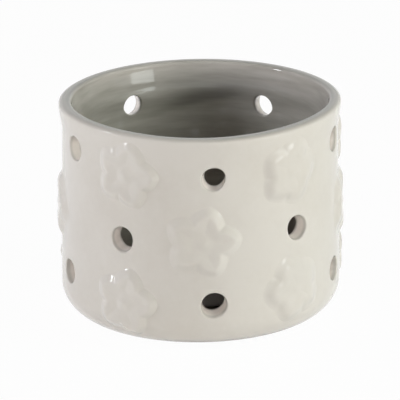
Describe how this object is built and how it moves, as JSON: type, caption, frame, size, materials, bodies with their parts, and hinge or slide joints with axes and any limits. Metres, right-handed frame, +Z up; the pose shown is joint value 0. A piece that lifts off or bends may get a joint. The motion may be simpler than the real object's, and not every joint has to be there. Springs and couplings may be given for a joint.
{
  "type": "candle holder",
  "caption": "Round glazed ceramic tealight holder with a pierced wall and raised five-petal blossoms, open at the top, holding a tealight that lifts out.",
  "frame": {"origin": "centre of the underside, in the plane of the foot ring", "axes": "+Z up along the cup's axis, -Y towards the column of places that faces the viewer"},
  "size_m": [0.094, 0.0939, 0.07],
  "materials": {
    "body_glaze": "glossy warm off-white glaze",
    "flower_glaze": "glossy warm off-white glaze",
    "foil": "bright pressed foil",
    "wax": "translucent ivory paraffin wax",
    "wick": "braided waxed cotton",
    "tab_metal": "pressed metal"
  },
  "bodies": {
    "holder": {"holder_body": "body_glaze", "flower_top_1": "flower_glaze", "flower_top_2": "flower_glaze", "flower_top_3": "flower_glaze", "flower_top_4": "flower_glaze", "flower_top_5": "flower_glaze", "flower_middle_1": "flower_glaze", "flower_middle_2": "flower_glaze", "flower_middle_3": "flower_glaze", "flower_middle_4": "flower_glaze", "flower_middle_5": "flower_glaze", "flower_bottom_1": "flower_glaze", "flower_bottom_2": "flower_glaze", "flower_bottom_3": "flower_glaze", "flower_bottom_4": "flower_glaze", "flower_bottom_5": "flower_glaze"},
    "tealight": {"tealight_cup": "foil", "tealight_wax": "wax", "tealight_wick": "wick", "tealight_wick_tab": "tab_metal"}
  },
  "joints": [
    {"name": "tealight_lift", "type": "slide", "parent": "holder", "child": "tealight", "axis": [0, 0, 1], "range_m": [0, 0.08]}
  ]
}
